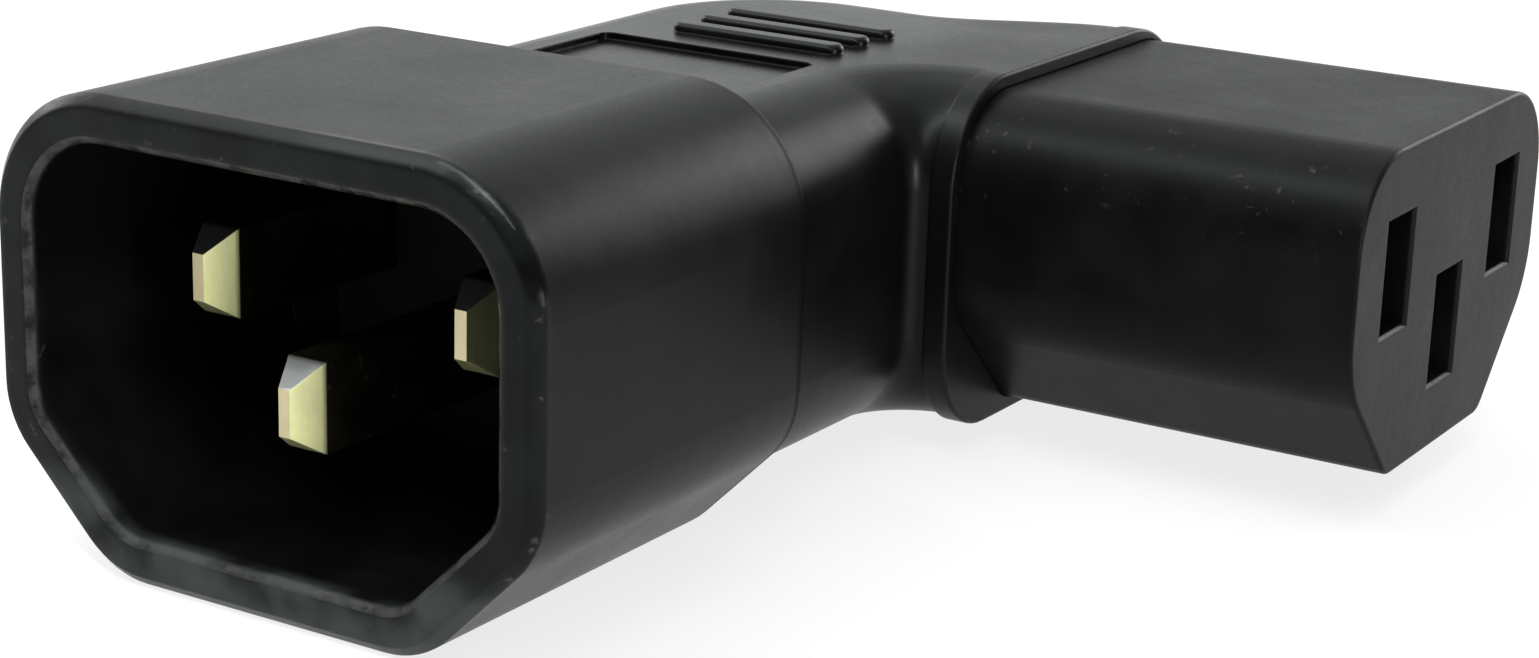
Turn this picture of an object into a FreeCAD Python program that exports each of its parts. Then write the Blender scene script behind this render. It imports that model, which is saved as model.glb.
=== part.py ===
import FreeCAD, Part
import math
import os
import Sketcher

# Right-angle power adapter: a male inlet with three flat pins, a moulded elbow and a female connector nose.
# Millimetres, +Z up. The inlet faces -Y and the nose faces +X.
# The origin is the bottom centre of the whole part.
# Pieces are drawn in the inlet's frame: its origin is the centre of the shroud's rim, with +Y into the recess.

SIZES = (
    # Inlet shroud
    ("shroud_width", 28.6),
    ("shroud_height", 21.0),
    ("shroud_length", 19.6),
    ("shroud_wall", 2.1),
    ("shroud_chamfer", 6.0),
    ("shroud_round", 6.0),
    ("shroud_bend", 4.5),
    ("recess_depth", 16.8),
    ("rim_chamfer", 0.5),
    ("lip_chamfer", 0.35),
    ("back_round", 0.4),
    # Elbow between the two ends
    ("neck_width", 22.4),
    ("neck_fillet", 0.4),
    ("arm_depth", 17.8),
    ("arm_stand", 2.2),
    ("outer_bend", 10.0),
    ("inner_bend", 1.2),
    ("inner_round", 5.0),
    ("outer_round", 3.0),
    ("belly_round", 4.9),
    ("corner_clear", 0.2),
    # Nose and the flared collar around its root
    ("socket_axis", 46.7),
    ("socket_reach", 33.4),
    ("nose_drop", 0.55),
    ("nose_width", 24.0),
    ("nose_height", 15.9),
    ("nose_chamfer", 5.8),
    ("nose_round", 4.4),
    ("nose_bend", 1.5),
    ("nose_shoulder", 5.0),
    ("nose_edge", 0.2),
    ("collar_lip", 0.7),
    ("collar_step", 0.4),
    ("collar_length", 1.2),
    ("collar_edge", 0.15),
    ("collar_round", 6.2),
    ("collar_belly", 4.4),
    ("flare_length", 9.8),
    ("flare_round", 6.6),
    ("flare_seam", 6.0),
    ("flare_lip", 0.1),
    # Grip ribs and label recess on top of the elbow
    ("rib_count", 3),
    ("rib_pitch", 2.5),
    ("rib_start", 37.9),
    ("rib_length", 9.7),
    ("rib_width", 1.3),
    ("rib_height", 0.45),
    ("rib_round", 0.3),
    ("rib_root", 0.3),
    ("label_width", 12.3),
    ("label_length", 9.8),
    ("label_end", 35.05),
    ("label_depth", 0.36),
    ("label_round", 0.6),
    # Pins and their carrier
    ("pin_gap", 14.0),
    ("row_gap", 4.0),
    ("pin_thickness", 2.0),
    ("pin_height", 4.0),
    ("tip_thickness", 0.6),
    ("tip_height", 2.1),
    ("tip_length", 1.5),
    ("live_tip", 4.7),
    ("earth_tip", 2.0),
    ("carrier_depth", 5.0),
    ("carrier_margin", 2.0),
    # Slots, contacts and the plate behind them
    ("slot_width", 3.2),
    ("slot_height", 5.4),
    ("slot_lead", 0.15),
    ("front_wall", 2.0),
    ("retainer_inset", 2.0),
    ("retainer_thickness", 1.6),
    ("contact_setback", 0.8),
    ("contact_width", 3.8),
    ("contact_height", 5.4),
    ("leaf_thickness", 0.5),
    ("pinch_gap", 1.4),
    ("mouth_gap", 2.6),
    ("mouth_length", 4.6),
    ("web_thickness", 0.8),
    # Conductors
    ("core_diameter", 1.3),
    ("sleeve_diameter", 2.6),
    ("barrel_length", 5.0),
    ("crimp_depth", 4.0),
    ("near_bend", 3.5),
    ("earth_bend", 8.0),
    ("far_bend", 8.0),
    ("far_turn", 4.0),
    ("far_cut", 4.7),
    ("far_lead", 3.0),
    # Fits
    ("fit_clear", 0.05),
    ("contact_clear", 0.3),
)

doc = FreeCAD.newDocument("AngledAdapter")
sheet = doc.addObject("Spreadsheet::Sheet", "Sizes")
for row, (alias, number) in enumerate(SIZES, start=1):
    sheet.set(f"A{row}", alias)
    sheet.set(f"B{row}", str(number))
    sheet.setAlias(f"B{row}", alias)
doc.recompute()


def size(alias):
    """Return the expression that reads one size from the sheet."""
    return f"Sizes.{alias}"


def value(expression):
    """Return the number that an expression over the sheet comes to."""
    return float(sheet.evalExpression(expression))


# Places that several pieces share
COLLAR_FRONT = "(Sizes.neck_width / 2 + Sizes.arm_stand)"
COLLAR_BACK = f"({COLLAR_FRONT} - Sizes.collar_length)"
FLARE_START = f"({COLLAR_BACK} - Sizes.flare_length)"
RETAINER_BACK = f"({COLLAR_BACK} - Sizes.retainer_thickness)"
COLLAR_NEAR = "(Sizes.socket_axis - Sizes.nose_width / 2 - Sizes.collar_lip)"
COLLAR_FAR = "(Sizes.socket_axis + Sizes.nose_width / 2 + Sizes.collar_lip)"
ARM_NEAR = f"({COLLAR_NEAR} + Sizes.collar_step)"
ARM_FAR = f"({ARM_NEAR} + Sizes.arm_depth)"
FLARE_SEAM = f"({ARM_FAR} - Sizes.flare_seam)"
TOP = "(Sizes.nose_height / 2 + Sizes.collar_lip - Sizes.nose_drop)"
BOTTOM = "(-Sizes.nose_height / 2 - Sizes.collar_lip - Sizes.nose_drop)"
CARRIER_BACK = "(Sizes.recess_depth + Sizes.carrier_depth)"
BARREL_END = f"({CARRIER_BACK} + Sizes.barrel_length)"
CONTACT_LENGTH = f"(Sizes.socket_reach - Sizes.front_wall - Sizes.contact_setback - {COLLAR_BACK})"
PIN_SIDE = "(Sizes.pin_gap / 2)"
PIN_RISE = "(Sizes.row_gap / 2)"
# Change of a 45 degree chamfer's leg for each millimetre that its outline moves
CHAMFER_SHARE = "(2 - sqrt(2))"
# Steps from the shroud's outline down to the neck's, at the side, the top and the bottom
SIDE_STEP = "(Sizes.shroud_width - Sizes.neck_width) / 2"
TOP_STEP = f"(Sizes.shroud_height / 2 - {TOP})"
BOTTOM_STEP = f"(Sizes.shroud_height / 2 + {BOTTOM})"
# Round of the elbow's lower edges, wide enough to keep the neck's corner inside the shroud's chamfer
CORNER_REACH = f"(Sizes.shroud_chamfer - {SIDE_STEP} - {BOTTOM_STEP})"
BELLY = f"max(Sizes.belly_round; ({CORNER_REACH} + sqrt(2) * Sizes.corner_clear) / {CHAMFER_SHARE})"
CORNER_STEP = f"({BELLY} * {CHAMFER_SHARE} - {CORNER_REACH}) / sqrt(2)"
NECK_STEP = f"min({SIDE_STEP}; {TOP_STEP}; {BOTTOM_STEP}; {CORNER_STEP})"
# Largest share of such a step that one round may take
ROUND_SHARE = "0.45"
# Spans of the flare between its drawn sections
FLARE_SPANS = 5
FRAME = (
    "-(Sizes.socket_reach - Sizes.shroud_width / 2) / 2",
    f"-{COLLAR_FAR} / 2",
    "Sizes.shroud_height / 2",
)


def new_body(label, spot=("0", "0", "0")):
    """Start one piece, placed by a spot in the inlet's frame."""
    body = doc.addObject("PartDesign::Body", label)
    body.Label = label
    for axis, shift, place in zip("xyz", FRAME, spot):
        body.setExpression(f"Placement.Base.{axis}", f"{shift} + {place}")
    return body


def new_sketch(body, name, role, offset="0"):
    """Start a sketch on one of the body's origin planes, moved along the plane's normal."""
    sketch = body.newObject("Sketcher::SketchObject", name)
    plane = next(item for item in body.Origin.OriginFeatures if item.Role == role)
    sketch.AttachmentSupport = [(plane, "")]
    sketch.MapMode = "FlatFace"
    sketch.setExpression("AttachmentOffset.Base.z", offset)
    return sketch


def tie(sketch, expression, kind, *where):
    """Add one constraint whose value follows the sheet."""
    index = sketch.addConstraint(Sketcher.Constraint(kind, *where, value(expression)))
    sketch.setExpression(f"Constraints[{index}]", expression)


def tie_point(sketch, geometry, position, x_place, y_place):
    """Tie a point of a sketch to its two coordinates."""
    tie(sketch, x_place, "DistanceX", -1, 1, geometry, position)
    tie(sketch, y_place, "DistanceY", -1, 1, geometry, position)


def trim(before, corner, after, radius):
    """Return where the two sides at a rounded corner end and start."""
    back = (before - corner).normalize()
    ahead = (after - corner).normalize()
    reach = radius / math.tan(back.getAngle(ahead) / 2)
    return corner + back * reach, corner + ahead * reach


def corner_arc(start, corner, end, radius):
    """Return the arc that rounds a corner, and whether it turns left along the outline."""
    back = (start - corner).normalize()
    ahead = (end - corner).normalize()
    centre = corner + (back + ahead).normalize() * (radius / math.sin(back.getAngle(ahead) / 2))
    left = back.cross(ahead).z < 0
    first, second = (start, end) if left else (end, start)
    angles = [math.atan2(spot.y - centre.y, spot.x - centre.x) for spot in (first, second)]
    circle = Part.Circle(centre, FreeCAD.Vector(0, 0, 1), radius)
    return Part.ArcOfCircle(circle, *angles), left


def draw(sketch, corners, closed=True):
    """Draw straight sides through (x, y, radius) corners, with a tangent arc where there is a radius."""
    count = len(corners)
    spots = [FreeCAD.Vector(value(x_place), value(y_place), 0) for x_place, y_place, _ in corners]
    ends = []
    for index, (_, _, radius) in enumerate(corners):
        spot = spots[index]
        if radius:
            ends.append(trim(spots[index - 1], spot, spots[(index + 1) % count], value(radius)))
        else:
            ends.append((spot, spot))
    side_count = count if closed else count - 1
    sides = []
    for index in range(side_count):
        line = Part.LineSegment(ends[index][1], ends[(index + 1) % count][0])
        sides.append(sketch.addGeometry(line))
    for index, (x_place, y_place, radius) in enumerate(corners):
        mark = sketch.addGeometry(Part.Point(spots[index]), True)
        tie_point(sketch, mark, 1, x_place, y_place)
        arriving = sides[index - 1] if closed or index > 0 else None
        leaving = sides[index] if closed or index < side_count else None
        if not radius:
            for side, position in ((arriving, 2), (leaving, 1)):
                if side is not None:
                    sketch.addConstraint(Sketcher.Constraint("Coincident", side, position, mark, 1))
            continue
        arc_shape, left = corner_arc(ends[index][0], spots[index], ends[index][1], value(radius))
        arc = sketch.addGeometry(arc_shape)
        first, second = (1, 2) if left else (2, 1)
        sketch.addConstraint(Sketcher.Constraint("PointOnObject", mark, 1, arriving))
        sketch.addConstraint(Sketcher.Constraint("PointOnObject", mark, 1, leaving))
        sketch.addConstraint(Sketcher.Constraint("Tangent", arriving, 2, arc, first))
        sketch.addConstraint(Sketcher.Constraint("Tangent", arc, second, leaving, 1))
        tie(sketch, radius, "Radius", arc)
    doc.recompute()
    return sketch


def draw_circle(sketch, x_place, y_place, radius):
    """Draw one circle tied to its centre and radius."""
    centre = FreeCAD.Vector(value(x_place), value(y_place), 0)
    circle = sketch.addGeometry(Part.Circle(centre, FreeCAD.Vector(0, 0, 1), value(radius)))
    tie_point(sketch, circle, 3, x_place, y_place)
    tie(sketch, radius, "Radius", circle)
    doc.recompute()
    return sketch


def rectangle(x_low, x_high, y_low, y_high, radius=None):
    """Return the corners of a rectangle, all rounded alike or all sharp."""
    return [(x_low, y_low, radius), (x_high, y_low, radius), (x_high, y_high, radius), (x_low, y_high, radius)]


def centred(width, height, x_place="0", y_place="0", radius=None):
    """Return the corners of a rectangle about a centre."""
    return rectangle(
        f"{x_place} - {width} / 2",
        f"{x_place} + {width} / 2",
        f"{y_place} - {height} / 2",
        f"{y_place} + {height} / 2",
        radius,
    )


def keyed(low, high, bottom, top, chamfer, top_round, bends):
    """Return the keyed outline: rounded top corners, and chamfers with a bend below and a shoulder above."""
    bend, shoulder = bends
    return [
        (f"{low} + {chamfer}", bottom, bend),
        (f"{high} - {chamfer}", bottom, bend),
        (high, f"{bottom} + {chamfer}", shoulder),
        (high, top, top_round),
        (low, top, top_round),
        (low, f"{bottom} + {chamfer}", shoulder),
    ]


def shroud_outline(inset):
    """Return the inlet shroud's keyed outline, moved inwards by an even wall."""
    bend = f"Sizes.shroud_bend - {inset}"
    return keyed(
        f"{inset} - Sizes.shroud_width / 2",
        f"Sizes.shroud_width / 2 - {inset}",
        f"{inset} - Sizes.shroud_height / 2",
        f"Sizes.shroud_height / 2 - {inset}",
        f"(Sizes.shroud_chamfer - {inset} * {CHAMFER_SHARE})",
        f"Sizes.shroud_round - {inset}",
        (bend, bend),
    )


SHARP = (None, None)


def nose_outline(offset, bends=("Sizes.nose_bend", "Sizes.nose_shoulder")):
    """Return the nose's keyed outline, moved outwards by an even offset."""
    return keyed(
        f"(Sizes.socket_axis - Sizes.nose_width / 2 - {offset})",
        f"(Sizes.socket_axis + Sizes.nose_width / 2 + {offset})",
        f"(-Sizes.nose_drop - Sizes.nose_height / 2 - {offset})",
        f"(Sizes.nose_height / 2 - Sizes.nose_drop + {offset})",
        f"(Sizes.nose_chamfer + {offset} * {CHAMFER_SHARE})",
        f"Sizes.nose_round + {offset}",
        bends,
    )


def soft_box(low, high, bottom, top, bottom_round, top_round):
    """Return the corners of a section with one radius below and another above."""
    return [
        (low, bottom, bottom_round),
        (high, bottom, bottom_round),
        (high, top, top_round),
        (low, top, top_round),
    ]


def pad(body, name, sketch, length, backwards=False, both_ways=False):
    """Raise a sketch into a solid."""
    feature = body.newObject("PartDesign::Pad", name)
    feature.Profile = sketch
    feature.setExpression("Length", length)
    feature.Reversed = backwards
    if both_ways:
        feature.SideType = "Symmetric"
    doc.recompute()
    return feature


def cut(body, name, sketch, depth, backwards=False):
    """Sink a sketch into the solid, and make sure that it took material away."""
    before = body.Shape.Volume
    feature = body.newObject("PartDesign::Pocket", name)
    feature.Profile = sketch
    feature.setExpression("Length", depth)
    feature.Reversed = backwards
    doc.recompute()
    if body.Shape.Volume >= before:
        raise RuntimeError(f"{name} cut nothing")
    return feature


def loft(body, name, sections, ruled=False):
    """Join sketched sections by straight flanks or by one smooth skin."""
    feature = body.newObject("PartDesign::AdditiveLoft", name)
    feature.Profile = sections[0]
    feature.Sections = sections[1:]
    feature.Ruled = ruled
    doc.recompute()
    return feature


def pipe(body, kind, name, section, spine):
    """Run a section along a drawn path, as added or as removed material."""
    feature = body.newObject(f"PartDesign::{kind}", name)
    feature.Profile = section
    run_count = len([item for item in spine.Geometry if not isinstance(item, Part.Point)])
    feature.Spine = (spine, [f"Edge{number + 1}" for number in range(run_count)])
    doc.recompute()
    return feature


def edge_names(shape, picked):
    """Return the names of the edges of a shape that a list holds."""
    names = []
    for number, edge in enumerate(shape.Edges, start=1):
        if any(edge.isSame(other) for other in picked):
            names.append(f"Edge{number}")
    return names


def soften(body, name, picked, radius):
    """Round the picked edges of the body's last feature."""
    base = body.Tip
    names = edge_names(base.Shape, list(picked(base.Shape)))
    feature = body.newObject("PartDesign::Fillet", name)
    feature.Base = (base, names)
    feature.setExpression("Radius", radius)
    doc.recompute()
    return feature


def bevel(body, name, picked, length):
    """Chamfer the picked edges of the body's last feature."""
    base = body.Tip
    names = edge_names(base.Shape, picked(base.Shape))
    feature = body.newObject("PartDesign::Chamfer", name)
    feature.Base = (base, names)
    feature.setExpression("Size", length)
    doc.recompute()
    return feature


NEAR = 1e-4


def flat_at(edge, axis, place):
    """Tell whether an edge lies in the plane at a place along an axis."""
    box = edge.BoundBox
    low = getattr(box, f"{axis}Min")
    high = getattr(box, f"{axis}Max")
    return abs(low - place) < NEAR and abs(high - place) < NEAR


def face_at(shape, axis, place):
    """Return the widest flat face in the plane at a place along an axis."""
    faces = [face for face in shape.Faces if flat_at(face, axis, place)]
    return max(faces, key=lambda face: face.BoundBox.DiagonalLength)


def outer_edges(axis, place):
    """Return a picker for the outer edges of the flat face at a place."""
    return lambda shape: face_at(shape, axis, place).OuterWire.Edges


def inner_edges(axis, place):
    """Return a picker for the edges of the openings in the flat face at a place."""

    def pick(shape):
        face = face_at(shape, axis, place)
        return [edge for wire in face.Wires if not wire.isSame(face.OuterWire) for edge in wire.Edges]

    return pick


def wire_routes():
    """Return each conductor's side and height at the pins, with its corners in plan between the two ends."""
    near_row = f"(Sizes.socket_axis - {PIN_SIDE})"
    far_row = f"(Sizes.socket_axis + {PIN_SIDE})"
    return {
        "line": (PIN_SIDE, PIN_RISE, near_row, [(PIN_SIDE, near_row, size("near_bend"))]),
        "neutral": (
            f"-{PIN_SIDE}",
            PIN_RISE,
            far_row,
            [
                (f"-{PIN_SIDE}", "(Sizes.socket_axis - Sizes.far_cut)", size("far_bend")),
                (f"({COLLAR_BACK} - Sizes.far_lead)", far_row, size("far_turn")),
            ],
        ),
        "earth": ("0", f"-{PIN_RISE}", size("socket_axis"), [("0", size("socket_axis"), size("earth_bend"))]),
    }


ROUTES = wire_routes()


def run_along(body, kind, name, wire, start, stop, outer, inner=None):
    """Run a round section along one conductor's route, between a depth behind the rim and a reach."""
    side, rise, row_place, bends = ROUTES[wire]
    spine = new_sketch(body, f"{name}Path", "XY_Plane", rise)
    draw(spine, [(side, start, None), *bends, (stop, row_place, None)], closed=False)
    section = new_sketch(body, f"{name}Section", "XZ_Plane", f"-({start})")
    draw_circle(section, side, rise, f"{outer} / 2")
    if inner:
        draw_circle(section, side, rise, f"{inner} / 2")
    return pipe(body, kind, name, section, spine)


def add_elbow(body):
    """Mould the elbow: neck, outer corner and the arm towards the nose, with soft long edges."""
    plan = new_sketch(body, "ElbowPlan", "XY_Plane", "-Sizes.nose_drop")
    half = "Sizes.neck_width / 2"
    neck_start = "(Sizes.shroud_length - Sizes.shroud_wall)"
    arm_end = f"({COLLAR_FRONT} - Sizes.collar_lip)"
    corners = [
        (half, neck_start, None),
        (half, ARM_NEAR, size("inner_bend")),
        (arm_end, ARM_NEAR, None),
        (arm_end, FLARE_SEAM, None),
        (FLARE_START, FLARE_SEAM, None),
        (FLARE_START, ARM_FAR, None),
        (f"-{half}", ARM_FAR, size("outer_bend")),
        (f"-{half}", neck_start, None),
    ]
    draw(plan, corners)
    pad(body, "Elbow", plan, f"{TOP} - {BOTTOM}", both_ways=True)

    def long_edges(shape, height):
        level = [edge for edge in shape.Edges if flat_at(edge, "Z", height)]
        ends = [("Y", value(neck_start)), ("X", value(arm_end))]
        ends += [("X", value(FLARE_START)), ("Y", value(FLARE_SEAM))]
        return [edge for edge in level if not any(flat_at(edge, *end) for end in ends)]

    def inside_turn(edge):
        return edge.CenterOfMass.x > 0 and edge.CenterOfMass.y < value(ARM_NEAR) + NEAR

    top = value(TOP)
    soften(body, "InnerEdge", lambda shape: filter(inside_turn, long_edges(shape, top)), size("inner_round"))
    soften(body, "OuterEdge", lambda shape: long_edges(shape, top), size("outer_round"))
    soften(body, "BellyEdges", lambda shape: long_edges(shape, value(BOTTOM)), BELLY)


def add_flare(body):
    """Swell the arm's far side out to the collar in one smooth skin."""
    sections = []
    for step in range(FLARE_SPANS + 1):
        along = step / FLARE_SPANS
        swell = along * along * (3 - 2 * along)
        far = f"({ARM_FAR} + {swell} * ({COLLAR_FAR} - Sizes.flare_lip - {ARM_FAR}))"
        top_round = f"(Sizes.outer_round + {swell} * (Sizes.flare_round - Sizes.outer_round))"
        place = f"({FLARE_START} + {along} * Sizes.flare_length)"
        section = new_sketch(body, f"FlareSection{step}", "YZ_Plane", place)
        corners = [
            (FLARE_SEAM, BOTTOM, None),
            (far, BOTTOM, BELLY),
            (far, TOP, top_round),
            (FLARE_SEAM, TOP, None),
        ]
        sections.append(draw(section, corners))
    loft(body, "Flare", sections)


def add_collar(body):
    """Raise the thin collar that grips the nose's root."""
    ring = new_sketch(body, "CollarRing", "YZ_Plane", COLLAR_BACK)
    corners = [
        (COLLAR_NEAR, BOTTOM, size("collar_belly")),
        (COLLAR_FAR, BOTTOM, size("collar_belly")),
        (COLLAR_FAR, TOP, size("collar_round")),
        (COLLAR_NEAR, TOP, size("inner_round")),
    ]
    draw(ring, corners)
    pad(body, "Collar", ring, size("collar_length"))


def add_shroud(body):
    """Mould the inlet shroud around the neck's root, with a fillet where the neck leaves its back."""
    outline = new_sketch(body, "ShroudOutline", "XZ_Plane")
    draw(outline, shroud_outline("0"))
    pad(body, "Shroud", outline, size("shroud_length"), backwards=True)
    back = value(size("shroud_length"))
    soften(body, "NeckRoot", inner_edges("Y", back), f"min(Sizes.neck_fillet; {ROUND_SHARE} * {NECK_STEP})")
    soften(body, "ShroudBack", outer_edges("Y", back), f"min(Sizes.back_round; {ROUND_SHARE} * {NECK_STEP})")


def add_top_details(body):
    """Raise the grip ribs, and sink the label recess in the middle of the neck's flat top."""
    root = f"({TOP} - Sizes.rib_root)"
    plan = new_sketch(body, "RibPlan", "XY_Plane", root)
    end_round = "(Sizes.rib_width / 2 - Sizes.fit_clear)"
    draw(plan, centred("Sizes.rib_length", "Sizes.rib_width", "0", "Sizes.rib_start", end_round))
    rib = pad(body, "Rib", plan, "Sizes.rib_root + Sizes.rib_height")
    row = body.newObject("PartDesign::LinearPattern", "RibRow")
    row.Originals = [rib]
    axis = next(item for item in body.Origin.OriginFeatures if item.Role == "Y_Axis")
    row.Direction = (axis, [""])
    row.setExpression("Length", "Sizes.rib_pitch * (Sizes.rib_count - 1)")
    row.setExpression("Occurrences", size("rib_count"))
    body.Tip = row
    doc.recompute()
    crest = value(f"{TOP} + Sizes.rib_height")

    def crest_edges(shape):
        return [edge for edge in shape.Edges if flat_at(edge, "Z", crest)]

    soften(body, "RibCrests", crest_edges, size("rib_round"))
    label = new_sketch(body, "LabelPlan", "XY_Plane", TOP)
    start = "(Sizes.label_end - Sizes.label_length)"
    middle = "((Sizes.outer_round - Sizes.inner_round) / 2)"
    low = f"{middle} - Sizes.label_width / 2"
    high = f"{middle} + Sizes.label_width / 2"
    draw(label, rectangle(low, high, start, size("label_end"), size("label_round")))
    cut(body, "LabelRecess", label, size("label_depth"))


def open_inlet(body):
    """Sink the inlet's recess and the seat of the pin carrier behind it, and bevel the rim."""
    mouth = new_sketch(body, "RecessOutline", "XZ_Plane")
    draw(mouth, shroud_outline(size("shroud_wall")))
    cut(body, "Recess", mouth, size("recess_depth"))
    seat = new_sketch(body, "CarrierSeatOutline", "XZ_Plane", "-Sizes.recess_depth")
    draw(seat, carrier_outline(size("fit_clear")))
    cut(body, "CarrierSeat", seat, size("carrier_depth"))
    bevel(body, "Rim", outer_edges("Y", 0.0), size("rim_chamfer"))
    bevel(body, "Lip", inner_edges("Y", 0.0), size("lip_chamfer"))


def open_collar(body):
    """Sink the seats of the nose and of the retainer behind it, and soften the collar's edge."""
    soften(body, "CollarEdge", outer_edges("X", value(COLLAR_FRONT)), size("collar_edge"))
    seat = new_sketch(body, "NoseSeatOutline", "YZ_Plane", COLLAR_FRONT)
    draw(seat, nose_outline(size("fit_clear")))
    cut(body, "NoseSeat", seat, size("collar_length"))
    pocket = new_sketch(body, "RetainerSeatOutline", "YZ_Plane", COLLAR_BACK)
    draw(pocket, nose_outline("(Sizes.fit_clear - Sizes.retainer_inset)", SHARP))
    cut(body, "RetainerSeat", pocket, size("retainer_thickness"))


def open_wire_ways(body):
    """Leave the three ways that the moulding keeps around crimps and conductors."""
    start = f"{CARRIER_BACK} - Sizes.fit_clear"
    stop = f"({RETAINER_BACK} + Sizes.fit_clear)"
    bore = "(Sizes.sleeve_diameter + 2 * Sizes.fit_clear)"
    for wire in ROUTES:
        before = body.Shape.Volume
        run_along(body, "SubtractivePipe", f"{wire.title()}Way", wire, start, stop, bore)
        if body.Shape.Volume >= before:
            raise RuntimeError(f"the way of the {wire} conductor cut nothing")


def make_housing():
    """Build the one-piece moulded housing."""
    body = new_body("elbow_housing")
    add_elbow(body)
    add_flare(body)
    add_collar(body)
    add_shroud(body)
    add_top_details(body)
    open_inlet(body)
    open_collar(body)
    open_wire_ways(body)
    return body


def carrier_outline(offset):
    """Return the pin carrier's outline, inside the neck by an even margin and moved outwards by an offset."""
    inset = f"(Sizes.carrier_margin - {offset})"
    half = f"(Sizes.neck_width / 2 - {inset})"
    return soft_box(
        f"-{half}",
        half,
        f"({BOTTOM} + {inset})",
        f"({TOP} - {inset})",
        f"{BELLY} - {inset}",
        f"Sizes.inner_round - {inset}",
    )


def make_carrier():
    """Build the insulating block that holds the pins at the bottom of the recess."""
    body = new_body("pin_carrier")
    outline = new_sketch(body, "CarrierOutline", "XZ_Plane", "-Sizes.recess_depth")
    draw(outline, carrier_outline("0"))
    pad(body, "Carrier", outline, size("carrier_depth"), backwards=True)
    holes = new_sketch(body, "PinHoles", "XZ_Plane", "-Sizes.recess_depth")
    hole_width = "(Sizes.pin_thickness + 2 * Sizes.fit_clear)"
    hole_height = "(Sizes.pin_height + 2 * Sizes.fit_clear)"
    for side, rise, _, _ in ROUTES.values():
        draw(holes, centred(hole_width, hole_height, side, rise))
    cut(body, "PinSlots", holes, size("carrier_depth"))
    return body


def make_pin(label, wire, tip):
    """Build one flat pin: bevelled tip, blade through the carrier and a round crimp barrel behind it."""
    side, rise, _, _ = ROUTES[wire]
    body = new_body(label, (side, tip, rise))
    shoulder = f"({CARRIER_BACK} - {tip})"
    point = new_sketch(body, "TipEnd", "XZ_Plane")
    draw(point, centred("Sizes.tip_thickness", "Sizes.tip_height"))
    full = new_sketch(body, "TipRoot", "XZ_Plane", "-Sizes.tip_length")
    draw(full, centred("Sizes.pin_thickness", "Sizes.pin_height"))
    loft(body, "Tip", [point, full], ruled=True)
    section = new_sketch(body, "BladeSection", "XZ_Plane", "-Sizes.tip_length")
    draw(section, centred("Sizes.pin_thickness", "Sizes.pin_height"))
    pad(body, "Blade", section, f"{shoulder} - Sizes.tip_length", backwards=True)
    ring = new_sketch(body, "BarrelRing", "XZ_Plane", f"-{shoulder}")
    draw_circle(ring, "0", "0", "Sizes.sleeve_diameter / 2")
    pad(body, "Barrel", ring, size("barrel_length"), backwards=True)
    bore = new_sketch(body, "BarrelBore", "XZ_Plane", f"-({shoulder} + Sizes.barrel_length)")
    draw_circle(bore, "0", "0", "Sizes.core_diameter / 2 + Sizes.fit_clear")
    cut(body, "CrimpBore", bore, "Sizes.crimp_depth + Sizes.fit_clear", backwards=True)
    return body


def make_nose():
    """Build the female nose: keyed block with a chamber and a front slot for each contact."""
    body = new_body("socket_nose")
    outline = new_sketch(body, "NoseOutline", "YZ_Plane", COLLAR_BACK)
    draw(outline, nose_outline("0"))
    pad(body, "Nose", outline, f"Sizes.socket_reach - {COLLAR_BACK}")
    front = value(size("socket_reach"))
    soften(body, "NoseEdge", outer_edges("X", front), size("nose_edge"))
    chambers = new_sketch(body, "ChamberPlan", "YZ_Plane", COLLAR_BACK)
    chamber_width = "(Sizes.contact_width + 2 * Sizes.contact_clear)"
    chamber_height = "(Sizes.contact_height + 2 * Sizes.contact_clear)"
    slots = new_sketch(body, "SlotPlan", "YZ_Plane", size("socket_reach"))
    for _, rise, row_place, _ in ROUTES.values():
        height = f"({rise} - Sizes.nose_drop)"
        draw(chambers, centred(chamber_width, chamber_height, row_place, height))
        draw(slots, centred("Sizes.slot_width", "Sizes.slot_height", row_place, height))
    cut(body, "Chambers", chambers, f"Sizes.socket_reach - Sizes.front_wall - {COLLAR_BACK}", backwards=True)
    cut(body, "Slots", slots, "Sizes.front_wall + Sizes.contact_clear")
    bevel(body, "SlotLeads", inner_edges("X", front), size("slot_lead"))
    return body


def make_retainer():
    """Build the plate that closes the contact chambers from behind."""
    body = new_body("contact_retainer")
    outline = new_sketch(body, "RetainerOutline", "YZ_Plane", RETAINER_BACK)
    draw(outline, nose_outline("(-Sizes.retainer_inset)", SHARP))
    pad(body, "Plate", outline, size("retainer_thickness"))
    holes = new_sketch(body, "WireHoles", "YZ_Plane", RETAINER_BACK)
    for _, rise, row_place, _ in ROUTES.values():
        draw_circle(holes, row_place, rise, "Sizes.sleeve_diameter / 2 + Sizes.fit_clear")
    cut(body, "WireWays", holes, size("retainer_thickness"), backwards=True)
    return body


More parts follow.
